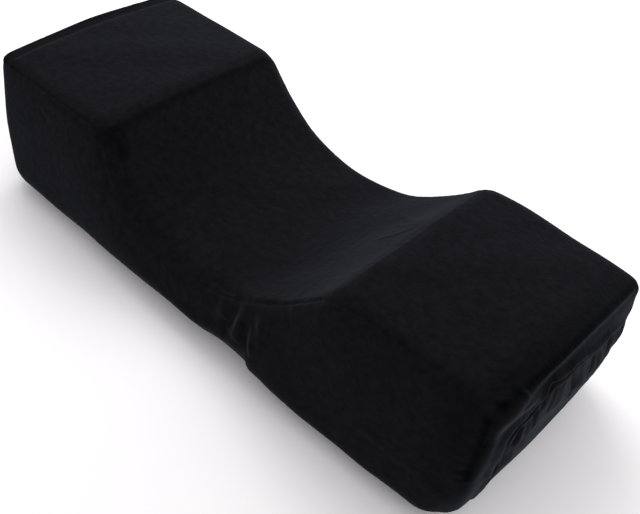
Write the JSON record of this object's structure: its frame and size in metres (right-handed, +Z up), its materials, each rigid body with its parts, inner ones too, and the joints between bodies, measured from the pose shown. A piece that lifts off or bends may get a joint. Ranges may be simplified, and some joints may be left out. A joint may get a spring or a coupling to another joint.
{
  "type": "eyelash extension pillow",
  "caption": "Contoured foam pillow in black velvet: a flat-topped wing at each end and a curved neck trough between them, with sewn edges and gathered sides.",
  "frame": {"origin": "middle of the base, on the surface that the pillow rests on", "axes": "+X along the pillow towards its higher end, +Y across it towards the back, +Z up"},
  "size_m": [0.5006, 0.2146, 0.1299],
  "materials": {
    "black_velvet": "matt black velvet with a short brushed pile"
  },
  "bodies": {
    "root": {"pillow": "black_velvet"}
  },
  "joints": []
}
